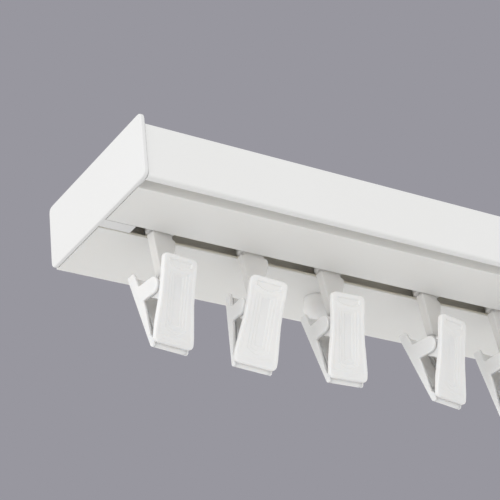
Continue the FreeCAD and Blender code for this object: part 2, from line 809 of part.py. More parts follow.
def main():
    """Build every sub-part, check it and write it out."""
    pieces = [build_track(), build_fascia(), build_cap("end_cap_left", False),
              build_cap("end_cap_right", True)]
    pieces += build_runners()
    doc.recompute()
    for item in doc.Objects:
        if "Invalid" in item.State or "Error" in item.State:
            raise RuntimeError(item.Label + " failed")
    os.makedirs("parts", exist_ok=True)
    for piece in pieces:
        shape = Part.getShape(piece)
        if shape.isNull() or not shape.isValid() or len(shape.Solids) != 1:
            raise RuntimeError(piece.Label + " has no single valid solid")
        shape.exportStep("parts/" + piece.Label + ".step")
        print(piece.Label, round(shape.Volume, 1), shape.BoundBox)


main()
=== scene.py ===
"""Looks of the ceiling curtain track: rounded profiles, stepped clips, soft studio.

Every piece is a surface worked out with numpy in millimetres and written to its
mesh in metres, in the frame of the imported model. Places of gliders and clips
come from the frame's joints, so nothing is placed twice.
"""

import json
import math

import bpy
import numpy as np
from mathutils import Matrix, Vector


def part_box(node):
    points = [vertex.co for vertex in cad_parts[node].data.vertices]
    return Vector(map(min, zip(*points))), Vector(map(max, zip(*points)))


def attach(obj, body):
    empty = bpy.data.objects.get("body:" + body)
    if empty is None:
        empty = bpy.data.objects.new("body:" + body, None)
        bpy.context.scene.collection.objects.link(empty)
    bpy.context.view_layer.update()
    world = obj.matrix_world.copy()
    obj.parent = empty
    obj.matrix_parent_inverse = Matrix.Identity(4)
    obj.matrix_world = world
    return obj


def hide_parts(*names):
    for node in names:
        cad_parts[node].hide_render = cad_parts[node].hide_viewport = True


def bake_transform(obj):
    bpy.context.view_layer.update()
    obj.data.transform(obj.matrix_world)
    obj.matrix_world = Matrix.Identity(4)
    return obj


bl_info = {
    "name": "Ceiling curtain track",
    "version": (1, 0, 0),
    "blender": (4, 5, 0),
    "location": "View3D > Sidebar > Curtain track",
    "description": "Dresses a slotted ceiling track, its gliders and its sprung clips",
    "category": "Object",
}

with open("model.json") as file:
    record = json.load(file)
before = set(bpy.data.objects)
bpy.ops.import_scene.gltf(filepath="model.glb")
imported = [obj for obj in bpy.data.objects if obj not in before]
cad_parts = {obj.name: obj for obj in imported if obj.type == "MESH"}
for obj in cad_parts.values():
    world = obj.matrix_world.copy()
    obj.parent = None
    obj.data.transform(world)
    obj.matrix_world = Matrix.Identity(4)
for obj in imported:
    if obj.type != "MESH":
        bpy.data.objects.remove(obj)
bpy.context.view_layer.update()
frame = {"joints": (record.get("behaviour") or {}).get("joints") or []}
JOINTS = {joint["name"]: joint for joint in frame["joints"]}
RUNNERS = sorted(int(name.split("_")[1]) for name in JOINTS if name.endswith("_slide"))

MM = 0.001
HALF_PI = math.pi / 2
# Millimetres: a clip's pin from its ball, and a glider's ball from its slot point,
# which lies on the underside, in the middle of the slot.
PIN = np.array([0.0, -2.2, -3.8])
BALL = np.array([-0.8, 0.0, -16.3])
# Millimetres: rounding of a sawn end, and room between a moulded plug and its hole.
SAWN_RIM = 0.08
FIT = 0.15
# Edges that turn by less than this are shaded smooth.
SMOOTH_BELOW = math.radians(35.0)
# Plastics: how far the grain varies roughness, index of refraction, how deep light
# goes in, in metres, and how much of that depth red, green and blue reach.
ROUGHNESS_SPREAD = 0.05
PLASTIC_IOR = 1.47
LIGHT_DEPTH = 0.002
LIGHT_REACH = (1.0, 0.92, 0.84)
# Directions of the camera's right and up, from the fit to the photograph.
CAMERA_RIGHT = (0.8463, -0.5247, -0.0919)
CAMERA_UP = (-0.1966, -0.4679, 0.8616)
# Metres: places of the lamps, the point that they face, and their width.
SIDE_LAMP = (-2.3, -0.35, -0.35)
FRONT_LAMP = (-0.7, -2.2, 0.95)
LAMPS_FACE = (-0.17, 0.0, -0.02)
LAMP_WIDTH = 1.2


class TrackSizes(bpy.types.PropertyGroup):
    """Sizes of the extrusions and end caps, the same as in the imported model."""

    depth: bpy.props.FloatProperty(
        name="Depth", description="Front wall to rear wall", default=0.048, unit="LENGTH")
    height: bpy.props.FloatProperty(
        name="Height", description="Underside to ceiling face", default=0.0202, unit="LENGTH")
    wall: bpy.props.FloatProperty(
        name="Wall", description="Wall of the extrusion", default=0.0011, unit="LENGTH")
    roof: bpy.props.FloatProperty(
        name="Roof", description="Wall against the ceiling", default=0.0015, unit="LENGTH")
    slot: bpy.props.FloatProperty(
        name="Slot", description="Width of the running slot", default=0.0045, unit="LENGTH")
    slot_centre: bpy.props.FloatProperty(
        name="Slot centre", description="Front wall to the slot's middle", default=0.02035,
        unit="LENGTH")
    channel: bpy.props.FloatProperty(
        name="Channel", description="Inside of the running channel", default=0.0119,
        unit="LENGTH")
    end_gap: bpy.props.FloatProperty(
        name="End gap", description="How far the extrusions end inside their CAD nodes",
        default=0.00002, unit="LENGTH")
    edge: bpy.props.FloatProperty(
        name="Edge", description="Rounding of the extruded edges", default=0.00028,
        unit="LENGTH")


class ClipSizes(bpy.types.PropertyGroup):
    """Sizes of one clip, in the frame of its ball joint."""

    front_tilt: bpy.props.FloatProperty(
        name="Front tilt", description="Front arm from the vertical",
        default=math.radians(15.8), subtype="ANGLE")
    rear_tilt: bpy.props.FloatProperty(
        name="Rear tilt", description="Rear arm from the vertical",
        default=math.radians(17.0), subtype="ANGLE")
    rise: bpy.props.FloatProperty(
        name="Rise", description="Ball to the top of the arms", default=0.005, unit="LENGTH")
    front: bpy.props.FloatProperty(
        name="Front", description="Ball to the front arm's face", default=0.0094,
        unit="LENGTH")
    rear: bpy.props.FloatProperty(
        name="Rear", description="Ball to the rear arm's face", default=0.0081, unit="LENGTH")
    length: bpy.props.FloatProperty(
        name="Length", description="Length of the front arm", default=0.0257, unit="LENGTH")
    step: bpy.props.FloatProperty(
        name="Step", description="Depth of each step in the panel", default=0.00018,
        unit="LENGTH")
    wire: bpy.props.FloatProperty(
        name="Wire", description="Radius of the spring wire", default=0.0003, unit="LENGTH")


class Finishes(bpy.types.PropertyGroup):
    """Colours of the plastics and of the surroundings, scene linear."""

    extrusion: bpy.props.FloatVectorProperty(
        name="Extrusion", description="White of the track", subtype="COLOR", size=3,
        default=(0.86, 0.853, 0.833))
    # Painted warm light: this colour stands in for the warm light seen in the shaded running
    # channel.
    channel: bpy.props.FloatVectorProperty(
        name="Channel", description="Warm film inside the running channel", subtype="COLOR",
        size=3, default=(0.93, 0.87, 0.73))
    fascia: bpy.props.FloatVectorProperty(
        name="Fascia", description="White of the front plate", subtype="COLOR", size=3,
        default=(0.86, 0.86, 0.855))
    cap: bpy.props.FloatVectorProperty(
        name="Cap", description="White of the end caps", subtype="COLOR", size=3,
        default=(0.81, 0.81, 0.81))
    glider: bpy.props.FloatVectorProperty(
        name="Glider", description="Warm white of the gliders", subtype="COLOR", size=3,
        default=(0.77, 0.76, 0.745))
    clip: bpy.props.FloatVectorProperty(
        name="Clip", description="White of the clips", subtype="COLOR", size=3,
        default=(0.852, 0.848, 0.842))
    steel: bpy.props.FloatVectorProperty(
        name="Steel", description="Pin and spring wire", subtype="COLOR", size=3,
        default=(0.56, 0.56, 0.58))
    backdrop: bpy.props.FloatVectorProperty(
        name="Backdrop", description="Grey behind the object", subtype="COLOR", size=3,
        default=(0.314, 0.309, 0.347))


class StageSizes(bpy.types.PropertyGroup):
    """Camera and light of the studio."""

    lens: bpy.props.FloatProperty(
        name="Lens", description="Focal length on a 36 mm sensor", default=139.48)
    eye: bpy.props.FloatVectorProperty(
        name="Eye", description="Place of the camera", subtype="XYZ", size=3, precision=5,
        default=(-0.47864, -0.39809, -0.29701))
    floor: bpy.props.FloatProperty(
        name="Floor", description="Height of the studio floor", default=-3.2, unit="LENGTH")
    ambient: bpy.props.FloatProperty(
        name="Ambient", description="Strength of the even light", default=0.85)
    side: bpy.props.FloatProperty(
        name="Side", description="Power of the soft lamp beyond the left end", default=13.0)
    front: bpy.props.FloatProperty(
        name="Front", description="Power of the soft lamp in front and above", default=6.5)


def rounded(corners, radius, steps=4):
    """Outline through corners, each replaced by a short curve.

    Around corner P the curve is the parabola (1-t)^2 A + 2t(1-t) P + t^2 B, with
    A and B on the two edges, a radius away, or 0.47 of the shorter edge if less.
    """
    p = np.asarray(corners, float)
    size = np.broadcast_to(np.asarray(radius, float), (len(p),))
    to_last = np.roll(p, 1, axis=0) - p
    to_next = np.roll(p, -1, axis=0) - p
    len_last = np.linalg.norm(to_last, axis=1)
    len_next = np.linalg.norm(to_next, axis=1)
    most = 0.47
    cut = np.minimum(size, most * np.minimum(len_last, len_next))
    a = p + to_last / len_last[:, None] * cut[:, None]
    b = p + to_next / len_next[:, None] * cut[:, None]
    t = np.linspace(0.0, 1.0, steps + 1)[None, :, None]
    curve = (1 - t) ** 2 * a[:, None] + 2 * t * (1 - t) * p[:, None] + t ** 2 * b[:, None]
    return curve.reshape(-1, 2)


def counter_clockwise(loop):
    """The outline, turned so that its signed area is positive."""
    x, y = loop[:, 0], loop[:, 1]
    area = np.sum(x * np.roll(y, -1) - y * np.roll(x, -1))
    return loop if area > 0 else loop[::-1]


def inset(loop, distance):
    """Move each point inwards, along the normal of its two neighbours' chord."""
    tiny = 1e-12
    along = np.roll(loop, -1, axis=0) - np.roll(loop, 1, axis=0)
    normal = np.stack([along[:, 1], -along[:, 0]], axis=1)
    normal /= np.linalg.norm(normal, axis=1)[:, None] + tiny
    return loop - normal * distance


def skin(rings):
    """Join closed rings into one closed surface with a face at each end.

    Returns vertices and faces. The sign of the enclosed volume decides the
    winding, so that faces always point outwards.
    """
    count, width = rings.shape[:2]
    verts = rings.reshape(-1, 3)
    row = np.arange(count - 1)[:, None] * width
    col = np.arange(width)[None, :]
    nxt = (col + 1) % width
    quads = np.stack([row + col, row + nxt, row + width + nxt, row + width + col], axis=-1)
    quads = quads.reshape(-1, 4)
    first = np.arange(width)[::-1]
    last = np.arange(width) + (count - 1) * width
    volume = 0.0
    for a, b, c in ((0, 1, 2), (0, 2, 3)):
        volume += np.sum(np.cross(verts[quads[:, a]], verts[quads[:, b]]) * verts[quads[:, c]])
    for cap in (first, last):
        volume += np.sum(np.cross(verts[cap[:-1]], verts[cap[1:]]) * verts[cap[0]])
    faces = quads.tolist() + [first.tolist(), last.tolist()]
    if volume < 0:
        faces = [face[::-1] for face in faces]
    return verts, faces


def slab(outline, low, high, edge, plane="yz"):
    """A profile carried along one axis, with rounded rims at both ends.

    Rings stand at height h with inset e, where (h, e) runs round a quarter
    circle of radius edge at each end.
    """
    loop = counter_clockwise(np.asarray(outline, float))
    angle = np.linspace(0.0, HALF_PI, 4)
    rise = edge * (1 - np.cos(angle))
    inward = edge * (1 - np.sin(angle))
    heights = np.concatenate([low + rise, (high - rise)[::-1]])
    insets = np.concatenate([inward, inward[::-1]])
    rings = np.stack([inset(loop, e) for e in insets])
    height = np.broadcast_to(heights[:, None, None], rings.shape[:2] + (1,))
    if plane == "yz":
        return skin(np.concatenate([height, rings], axis=2))
    return skin(np.concatenate([rings[..., :1], height, rings[..., 1:]], axis=2))


def lathe(profile, segments=40):
    """Turn a profile of (radius, height) pairs about the vertical axis."""
    line = np.asarray(profile, float)
    turn = np.linspace(0.0, 2 * math.pi, segments, endpoint=False)
    radius = line[:, 0][:, None]
    height = np.broadcast_to(line[:, 1][:, None], (len(line), segments))
    rings = np.stack([radius * np.cos(turn), radius * np.sin(turn), height], axis=-1)
    return skin(rings)


def tube(path, radius, sides=12):
    """A round wire along a path, its rings square to the path's direction.

    A ring is centre + r (cos u side + sin u up). Side is square to the path and to a
    direction near the pin's, which no stretch of the path follows.
    """
    path = np.asarray(path, float)
    along = np.gradient(path, axis=0)
    along /= np.linalg.norm(along, axis=1)[:, None]
    near_pin = np.array([1.0, 0.04, 0.02])
    side = np.cross(along, near_pin)
    side /= np.linalg.norm(side, axis=1)[:, None]
    up = np.cross(side, along)
    turn = np.linspace(0.0, 2 * math.pi, sides, endpoint=False)[None, :, None]
    spoke = np.cos(turn) * side[:, None] + np.sin(turn) * up[:, None]
    return skin(path[:, None] + radius * spoke)


def moved(part, turn=None, shift=(0.0, 0.0, 0.0)):
    """Turn and shift a part's vertices."""
    verts, faces = part
    if turn is not None:
        verts = verts @ turn.T
    return verts + np.asarray(shift, float), faces


def flipped(part):
    """Mirror a part end for end along the track, with its faces turned back."""
    verts, faces = part
    return verts * np.array([-1.0, 1.0, 1.0]), [face[::-1] for face in faces]


def about_x(angle):
    """Rotation matrix about the direction of the track."""
    c, s = math.cos(angle), math.sin(angle)
    return np.array([[1, 0, 0], [0, c, -s], [0, s, c]], float)


def about_z(angle):
    """Rotation matrix about the vertical."""
    c, s = math.cos(angle), math.sin(angle)
    return np.array([[c, -s, 0], [s, c, 0], [0, 0, 1]], float)


def make_piece(name, parts, material, body, replaced, bend=None):
    """Write parts given in millimetres as one object that rides on a body.

    With bend, which is a second body and two points in millimetres, the piece rides on no body
    and its place is baked into its mesh; the second body and the two points are not used.
    """
    verts, faces, base = [], [], 0
    for part_verts, part_faces in parts:
        verts.append(part_verts)
        faces += [[index + base for index in face] for face in part_faces]
        base += len(part_verts)
    mesh = bpy.data.meshes.new(name)
    mesh.from_pydata((np.concatenate(verts) * MM).tolist(), [], faces)
    mesh.polygons.foreach_set("use_smooth", np.ones(len(mesh.polygons), bool))
    mesh.set_sharp_from_angle(angle=SMOOTH_BELOW)
    mesh.materials.append(material)
    mesh.update()
    piece = bpy.data.objects.new(name, mesh)
    bpy.context.scene.collection.objects.link(piece)
    if bend:
        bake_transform(piece)
    else:
        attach(piece, body)
    if replaced:
        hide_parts(*replaced)
    even = piece.modifiers.new("even_normals", "WEIGHTED_NORMAL")
    even.keep_sharp = True
    return piece


def new_group(name, inputs, outputs):
    """A shader node group with named sockets."""
    group = bpy.data.node_groups.new(name, "ShaderNodeTree")
    for label, kind, value in inputs:
        socket = group.interface.new_socket(label, in_out="INPUT", socket_type=kind)
        socket.default_value = value
    for label, kind in outputs:
        group.interface.new_socket(label, in_out="OUTPUT", socket_type=kind)
    return group


def grain_group():
    """Fine moulded or extruded surface: noise, stretched along the track, as a bump."""
    group = new_group("fine_grain", [
        ("Scale", "NodeSocketFloat", 900.0),
        ("Stretch", "NodeSocketVector", (1.0, 1.0, 1.0)),
        ("Strength", "NodeSocketFloat", 0.1),
        ("Depth", "NodeSocketFloat", 0.0001),
    ], [("Normal", "NodeSocketVector"), ("Value", "NodeSocketFloat")])
    nodes, links = group.nodes, group.links
    given = nodes.new("NodeGroupInput")
    out = nodes.new("NodeGroupOutput")
    coords = nodes.new("ShaderNodeTexCoord")
    stretch = nodes.new("ShaderNodeVectorMath")
    stretch.operation = "MULTIPLY"
    noise = nodes.new("ShaderNodeTexNoise")
    noise.inputs["Detail"].default_value = 4.0
    bump = nodes.new("ShaderNodeBump")
    links.new(coords.outputs["Object"], stretch.inputs[0])
    links.new(given.outputs["Stretch"], stretch.inputs[1])
    links.new(stretch.outputs[0], noise.inputs["Vector"])
    links.new(given.outputs["Scale"], noise.inputs["Scale"])
    links.new(noise.outputs["Fac"], bump.inputs["Height"])
    links.new(given.outputs["Strength"], bump.inputs["Strength"])
    links.new(given.outputs["Depth"], bump.inputs["Distance"])
    links.new(bump.outputs["Normal"], out.inputs["Normal"])
    links.new(noise.outputs["Fac"], out.inputs["Value"])
    return group


def tone_group():
    """Slow drift of tone: two colours mixed by broad noise."""
    group = new_group("soft_tone", [
        ("Colour", "NodeSocketColor", (0.8, 0.8, 0.8, 1.0)),
        ("Second", "NodeSocketColor", (0.78, 0.78, 0.77, 1.0)),
        ("Scale", "NodeSocketFloat", 30.0),
    ], [("Colour", "NodeSocketColor")])
    nodes, links = group.nodes, group.links
    given = nodes.new("NodeGroupInput")
    out = nodes.new("NodeGroupOutput")
    coords = nodes.new("ShaderNodeTexCoord")
    noise = nodes.new("ShaderNodeTexNoise")
    mix = nodes.new("ShaderNodeMix")
    mix.data_type = "RGBA"
    links.new(coords.outputs["Object"], noise.inputs["Vector"])
    links.new(given.outputs["Scale"], noise.inputs["Scale"])
    links.new(noise.outputs["Fac"], mix.inputs["Factor"])
    links.new(given.outputs["Colour"], mix.inputs["A"])
    links.new(given.outputs["Second"], mix.inputs["B"])
    links.new(mix.outputs["Result"], out.inputs["Colour"])
    return group


def plastic(name, colour, second, roughness, stretch, scale, strength, depth=0.0):
    """White plastic: drifting tone, fine grain, roughness broken up by the grain.

    Depth is the share of light that goes a little way into the plastic and comes
    out warmer.
    """
    material = bpy.data.materials.new(name)
    material.use_nodes = True
    nodes, links = material.node_tree.nodes, material.node_tree.links
    surface = nodes["Principled BSDF"]
    tone = nodes.new("ShaderNodeGroup")
    tone.node_tree = bpy.data.node_groups["soft_tone"]
    tone.inputs["Colour"].default_value = (*colour, 1.0)
    tone.inputs["Second"].default_value = (*second, 1.0)
    grain = nodes.new("ShaderNodeGroup")
    grain.node_tree = bpy.data.node_groups["fine_grain"]
    grain.inputs["Scale"].default_value = scale
    grain.inputs["Stretch"].default_value = stretch
    grain.inputs["Strength"].default_value = strength
    shine = nodes.new("ShaderNodeMapRange")
    shine.inputs["To Min"].default_value = roughness - ROUGHNESS_SPREAD
    shine.inputs["To Max"].default_value = roughness + ROUGHNESS_SPREAD
    links.new(tone.outputs["Colour"], surface.inputs["Base Color"])
    links.new(grain.outputs["Normal"], surface.inputs["Normal"])
    links.new(grain.outputs["Value"], shine.inputs["Value"])
    links.new(shine.outputs["Result"], surface.inputs["Roughness"])
    surface.inputs["IOR"].default_value = PLASTIC_IOR
    surface.inputs["Subsurface Weight"].default_value = depth
    surface.inputs["Subsurface Radius"].default_value = LIGHT_REACH
    surface.inputs["Subsurface Scale"].default_value = LIGHT_DEPTH
    return material


def painted_channel_light_group():
    """Mask of the running channel, where warm light is painted: 1 between slot and roof near
    the middle, else 0.

    It is the product of three ramps: on the height over the underside, on the
    depth below the roof and on the distance from the slot's middle plane.
    """
    group = new_group("painted_channel_light_mask", [
        ("Underside", "NodeSocketFloat", -0.0202),
        ("Roof", "NodeSocketFloat", -0.0012),
        ("Reach", "NodeSocketFloat", 0.0062),
        ("Soft", "NodeSocketFloat", 0.0008),
    ], [("Mask", "NodeSocketFloat")])
    nodes, links = group.nodes, group.links
    given = nodes.new("NodeGroupInput")
    out = nodes.new("NodeGroupOutput")
    coords = nodes.new("ShaderNodeTexCoord")
    axes = nodes.new("ShaderNodeSeparateXYZ")
    links.new(coords.outputs["Object"], axes.inputs[0])

    def step(operation, first, second, clamp=False):
        node = nodes.new("ShaderNodeMath")
        node.operation = operation
        node.use_clamp = clamp
        for socket, value in zip(node.inputs, (first, second)):
            if value is not None:
                links.new(value, socket)
        return node.outputs[0]

    height = step("SUBTRACT", axes.outputs["Z"], given.outputs["Underside"])
    above = step("DIVIDE", height, given.outputs["Soft"], clamp=True)
    aside = step("ABSOLUTE", axes.outputs["Y"], None)
    room = step("SUBTRACT", given.outputs["Reach"], aside)
    near = step("DIVIDE", room, given.outputs["Soft"], clamp=True)
    depth = step("SUBTRACT", given.outputs["Roof"], axes.outputs["Z"])
    below = step("DIVIDE", depth, given.outputs["Soft"], clamp=True)
    links.new(step("MULTIPLY", step("MULTIPLY", above, below), near), out.inputs["Mask"])
    return group


def paint_channel_light(material, colour):
    """Painted warm light in the shaded running channel, on the mask."""
    nodes, links = material.node_tree.nodes, material.node_tree.links
    surface = nodes["Principled BSDF"]
    plain_colour = surface.inputs["Base Color"].links[0].from_socket
    mask = nodes.new("ShaderNodeGroup")
    mask.node_tree = bpy.data.node_groups["painted_channel_light_mask"]
    mix = nodes.new("ShaderNodeMix")
    mix.data_type = "RGBA"
    mix.inputs["B"].default_value = (*colour, 1.0)
    links.new(mask.outputs["Mask"], mix.inputs["Factor"])
    links.new(plain_colour, mix.inputs["A"])
    links.new(mix.outputs["Result"], surface.inputs["Base Color"])


def steel(name, colour):
    """Drawn steel: the plastics' tone and grain, drawn out to fine lines, on metal."""
    darker = tuple(0.9 * c for c in colour)
    material = plastic(name, colour, darker, roughness=0.3, stretch=(0.2, 1.0, 1.0),
                       scale=2500.0, strength=0.1)
    material.node_tree.nodes["Principled BSDF"].inputs["Metallic"].default_value = 1.0
    return material


class TRACK_OT_materials(bpy.types.Operator):
    """Make the plastics and the steel"""

    bl_idname = "curtain_track.materials"
    bl_label = "Materials"

    def execute(self, context):
        finish = context.scene.track_finishes
        grain_group()
        tone_group()
        painted_channel_light_group()
        even, drawn = (1.0, 1.0, 1.0), (0.04, 1.0, 1.0)
        yellowed = (0.975, 0.972, 0.96)
        for name, colour, rough, stretch, scale, strength, depth in (
            ("white_extrusion", finish.extrusion, 0.46, drawn, 1500.0, 0.12, 0.3),
            ("white_fascia", finish.fascia, 0.42, drawn, 1300.0, 0.12, 0.0),
            ("white_cap", finish.cap, 0.44, even, 1700.0, 0.10, 0.0),
            ("warm_glider", finish.glider, 0.36, even, 1500.0, 0.06, 0.3),
            ("white_clip", finish.clip, 0.34, even, 1500.0, 0.06, 0.45),
        ):
            second = tuple(c * share for c, share in zip(colour, yellowed))
            plastic(name, tuple(colour), second, rough, stretch, scale, strength, depth)
        # Paints warm light into the shaded running channel of the extrusion.
        paint_channel_light(bpy.data.materials["white_extrusion"], tuple(finish.channel))
        steel("drawn_steel", tuple(finish.steel))
        return {"FINISHED"}


def section_point(sizes, across, up):
    """A point of the section, measured from the front wall and the underside."""
    return across - sizes.slot_centre / MM, up - sizes.height / MM


def section_outline(sizes, corners, radius):
    """Section corners moved to the frame's origin and rounded."""
    return rounded([section_point(sizes, a, b) for a, b in corners], radius)


def extruded(sizes, node, corners, radius):
    """A section carried from end to end of its CAD node, less the gap at each end."""
    outline = section_outline(sizes, corners, radius)
    low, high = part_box(node)
    gap = sizes.end_gap / MM
    return slab(outline, low[0] / MM + gap, high[0] / MM - gap, SAWN_RIM)


class TRACK_OT_profile(bpy.types.Operator):
    """Extrude the track: slot, channel with ledges, fascia rails"""

    bl_idname = "curtain_track.profile"
    bl_label = "Track profile"

    def execute(self, context):
        sizes = context.scene.track_sizes
        wall, depth, height = sizes.wall / MM, sizes.depth / MM, sizes.height / MM
        middle, slot = sizes.slot_centre / MM, sizes.slot / MM / 2
        room, roof = sizes.channel / MM / 2, height - sizes.roof / MM
        front, rear = middle - room, middle + room
        ledge, reach = 6.1, 1.3
        hook, hook_floor, hook_rise, hook_out, hook_in = 12.4, 1, 3.4, -3, -2
        rail_low, rail_high, rail_out = 4, 5.2, -4.4
        corners = [
            (0, 0), (middle - slot, 0), (middle - slot, wall), (front, wall),
            (front, ledge), (front + reach, ledge), (front + reach, ledge + wall),
            (front, ledge + wall), (front, roof), (rear, roof), (rear, ledge + wall),
            (rear - reach, ledge + wall), (rear - reach, ledge), (rear, ledge),
            (rear, wall), (middle + slot, wall), (middle + slot, 0), (depth, 0),
            (depth, height), (0, height), (0, hook + hook_floor),
            (hook_in, hook + hook_floor), (hook_in, hook + hook_rise),
            (hook_out, hook + hook_rise), (hook_out, hook), (0, hook),
            (0, rail_high), (rail_out, rail_high), (rail_out, rail_low), (0, rail_low),
        ]
        part = extruded(sizes, "track_profile", corners, sizes.edge / MM)
        make_piece("track_body", [part], bpy.data.materials["white_extrusion"], "track",
                   ["track_profile"])
        return {"FINISHED"}


class TRACK_OT_fascia(bpy.types.Operator):
    """Extrude the front plate with its lip and hooks"""

    bl_idname = "curtain_track.fascia"
    bl_label = "Fascia"

    def execute(self, context):
        sizes = context.scene.track_sizes
        face, back, lip, shelf, hook, tip = -6.2, -4.6, -3.9, -3.6, -1.8, -0.7
        lip_top, shelf_low, shelf_high = 3.8, 5.4, 6.4
        hook_low, hook_high, top = 13.6, 16, 17.1
        corners = [
            (face, 0), (lip, 0), (lip, lip_top), (back, lip_top), (back, shelf_low),
            (shelf, shelf_low), (shelf, shelf_high), (back, shelf_high),
            (back, hook_high), (hook, hook_high), (hook, hook_low), (tip, hook_low),
            (tip, top), (face, top),
        ]
        radius = [0.75, 0.35] + [0.2] * 10 + [0.3, 0.6]
        part = extruded(sizes, "fascia_profile", corners, radius)
        make_piece("fascia_front", [part], bpy.data.materials["white_fascia"], "track",
                   ["fascia_profile"])
        return {"FINISHED"}


def cap_parts(sizes, outer_x):
    """Plate, stop tongue, hollow plugs and groove tab of the left end cap.

    All but the plate are rounded blocks that start a little inside the plate.
    """
    depth, height, wall = sizes.depth / MM, sizes.height / MM, sizes.wall / MM
    middle, room = sizes.slot_centre / MM, sizes.channel / MM / 2
    thick, sunk, rim = 1.3, 0.2, 0.32
    front, rear, foot = -6.6, depth + 0.2, -0.1
    tongue, tongue_top, tongue_length, off_middle = 3.7, 5.1, 9.75, 0.25
    plug_length, plug_wall, under_ledge, rear_plug = 7, 1.2, 5.95, 38.0
    tab, tab_length = (-3.7, -0.2, 0.6, 3.6), 0.8
    inner_x = outer_x + thick

    def block(low_y, high_y, low_z, high_z, length, radius=0.3, edge=0.15):
        corners = [(low_y, low_z), (high_y, low_z), (high_y, high_z), (low_y, high_z)]
        outline = section_outline(sizes, corners, radius)
        return slab(outline, inner_x - sunk, inner_x + length, edge)

    plate = section_outline(
        sizes, [(front, foot), (rear, foot), (rear, height), (front, height)],
        [2.1, 2.1, 1.9, 1.9])
    start = middle - tongue / 2 - off_middle
    parts = [
        slab(plate, outer_x, inner_x, rim),
        block(start, start + tongue, 0, tongue_top, tongue_length, 0.2, 0.2),
        block(middle - room + FIT, middle + room - FIT, wall + FIT, under_ledge, plug_length),
    ]
    low_z, high_z = wall + FIT, height - sizes.roof / MM - FIT
    for near, far in ((wall, middle - room - wall), (middle + room + wall, rear_plug)):
        low_y, high_y = near + FIT, far - FIT
        parts += [
            block(low_y, high_y, low_z, low_z + plug_wall, plug_length),
            block(low_y, high_y, high_z - plug_wall, high_z, plug_length),
            block(low_y, low_y + plug_wall, low_z, high_z, plug_length),
            block(high_y - plug_wall, high_y, low_z, high_z, plug_length),
        ]
    parts.append(block(*tab, tab_length))
    return parts


class TRACK_OT_caps(bpy.types.Operator):
    """Mould the two end caps, one the mirror image of the other"""

    bl_idname = "curtain_track.caps"
    bl_label = "End caps"

    def execute(self, context):
        sizes = context.scene.track_sizes
        outer_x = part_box("end_cap_left")[0][0] / MM
        parts = cap_parts(sizes, outer_x)
        material = bpy.data.materials["white_cap"]
        make_piece("cap_left", parts, material, "track", ["end_cap_left"])
        mirrored = [flipped(part) for part in parts]
        make_piece("cap_right", mirrored, material, "track", ["end_cap_right"])
        return {"FINISHED"}


def button_profile():
    """Half outline of the screw button, as (radius, height) from the flange.

    At share t of the way down, the neck's radius is r - w (1-t)^2. Half a ball of
    radius r closes it below.
    """
    radius, drop, waist, sunk, pole = 4.0, 3.6, 0.5, 0.4, 0.02
    neck = [(radius - waist * (1 - t) ** 2, -drop * t) for t in np.linspace(0, 1, 8)]
    angle = np.linspace(HALF_PI, math.pi - pole, 16)[1:]
    dome = [(radius * math.sin(a), radius * math.cos(a) - drop) for a in angle]
    return [(radius - waist, sunk)] + neck + dome


class TRACK_OT_button(bpy.types.Operator):
    """Press the round button over a screw in the rear flange"""

    bl_idname = "curtain_track.button"
    bl_label = "Screw button"

    def execute(self, context):
        along, across = -170.3, 13.2
        underside = -context.scene.track_sizes.height / MM
        part = moved(lathe(button_profile(), 48), None, (along, across, underside))
        white = bpy.data.materials["white_clip"]
        make_piece("screw_button", [part], white, "track", [])
        return {"FINISHED"}


def ball_place(number):
    """Centre of a runner's ball joint, in millimetres."""
    return np.array(JOINTS["clip_%d_swivel" % number]["pos_m"], float) / MM


def clip_frame(number):
    """Rotation of a hanging clip, from its squeeze hinge.

    The hinge's axis is the clip's own X. The line from the ball to the pin lies
    in its Y and Z plane, at a known angle, which fixes the other two.
    """
    squeeze = JOINTS["clip_%d_squeeze" % number]
    x = np.array(squeeze["axis"], float)
    x /= np.linalg.norm(x)
    down = np.array(squeeze["pos_m"], float) / MM - ball_place(number)
    own = PIN.copy()
    down /= np.linalg.norm(down)
    own /= np.linalg.norm(own)
    side = np.cross(x, down)
    own_side = np.cross([1.0, 0.0, 0.0], own)
    world = np.stack([x, down, side], axis=1)
    local = np.stack([np.array([1.0, 0.0, 0.0]), own, own_side], axis=1)
    return world @ local.T


def glider_turn(number):
    """Turn of a glider in its slot, from how far its ball lies off the slot's line."""
    return math.asin(np.clip(ball_place(number)[1] / BALL[0], -1.0, 1.0))


def glider_parts():
    """Round head, blade with its stem, neck and ball of a glider, from its slot point.

    The head's rim is two quarter circles with a short wall between. The ball is cut
    off where it meets the neck, at the angle whose cosine is neck over ball radius.
    """
    turn = np.linspace(0, HALF_PI, 6)
    head, edge, head_low, head_high = 4.4, 0.77, 1.15, 5.35
    low = [(head - edge + edge * math.sin(a), head_low + edge - edge * math.cos(a))
           for a in turn]
    high = [(r, head_low + head_high - z) for r, z in low[::-1]]
    shoulder, foot, stem, stem_top, half_thick = -0.1, -13.5, 3.2, 1.65, 1.25
    blade = rounded([(-4.5, shoulder), (-2.3, -12.1), (-1.9, foot), (0.3, foot),
                     (1.1, -12.1), (4.5, -2.2), (4.4, -0.3), (3.3, shoulder),
                     (stem, stem_top), (-stem, stem_top), (-stem, shoulder)],
                    [0.5, 0.8, 0.7, 0.7, 0.8, 1.6, 1.4, 0.2, 0.3, 0.3, 0.2], 6)
    ball, neck, pole = 1.6, 0.95, 0.08
    angle = np.linspace(-HALF_PI + pole, math.acos(neck / ball), 16)
    profile = [(ball * math.cos(a), ball * math.sin(a) + BALL[2]) for a in angle]
    profile += [(neck, -14.6), (neck, -13.6), (1.1, -13.1), (1.15, -12.4)]
    hanger = moved(lathe(profile), None, (BALL[0], 0.0, 0.0))
    return [lathe(low + high, 56), slab(blade, -half_thick, half_thick, 0.2, "xz"), hanger]


